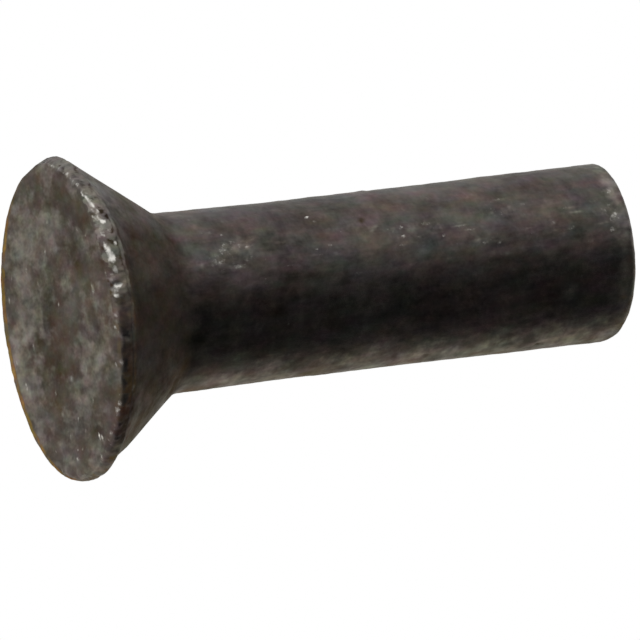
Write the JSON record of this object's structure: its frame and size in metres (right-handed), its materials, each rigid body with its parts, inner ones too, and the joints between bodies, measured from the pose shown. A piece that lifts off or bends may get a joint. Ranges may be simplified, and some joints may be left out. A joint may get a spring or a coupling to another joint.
{
  "type": "countersunk solid rivet",
  "caption": "Solid steel rivet with a flat-faced 75 degree countersunk head, a plain round shank and a cropped, rolled-over tail, in a dark oxide finish worn bright at the rim.",
  "frame": {"origin": "centre of the head's flat face, which the rivet stands on", "axes": "+Z along the rivet's axis from the head's face to the tail; +X towards the side where the tail's edge is rolled over"},
  "size_m": [0.011, 0.011, 0.02],
  "materials": {
    "oxidised_steel": "dark mill oxide on plain steel, half glossy, mottled grey-brown, rubbed to bare metal along the head's edge"
  },
  "bodies": {
    "root": {"rivet": "oxidised_steel"}
  },
  "joints": []
}
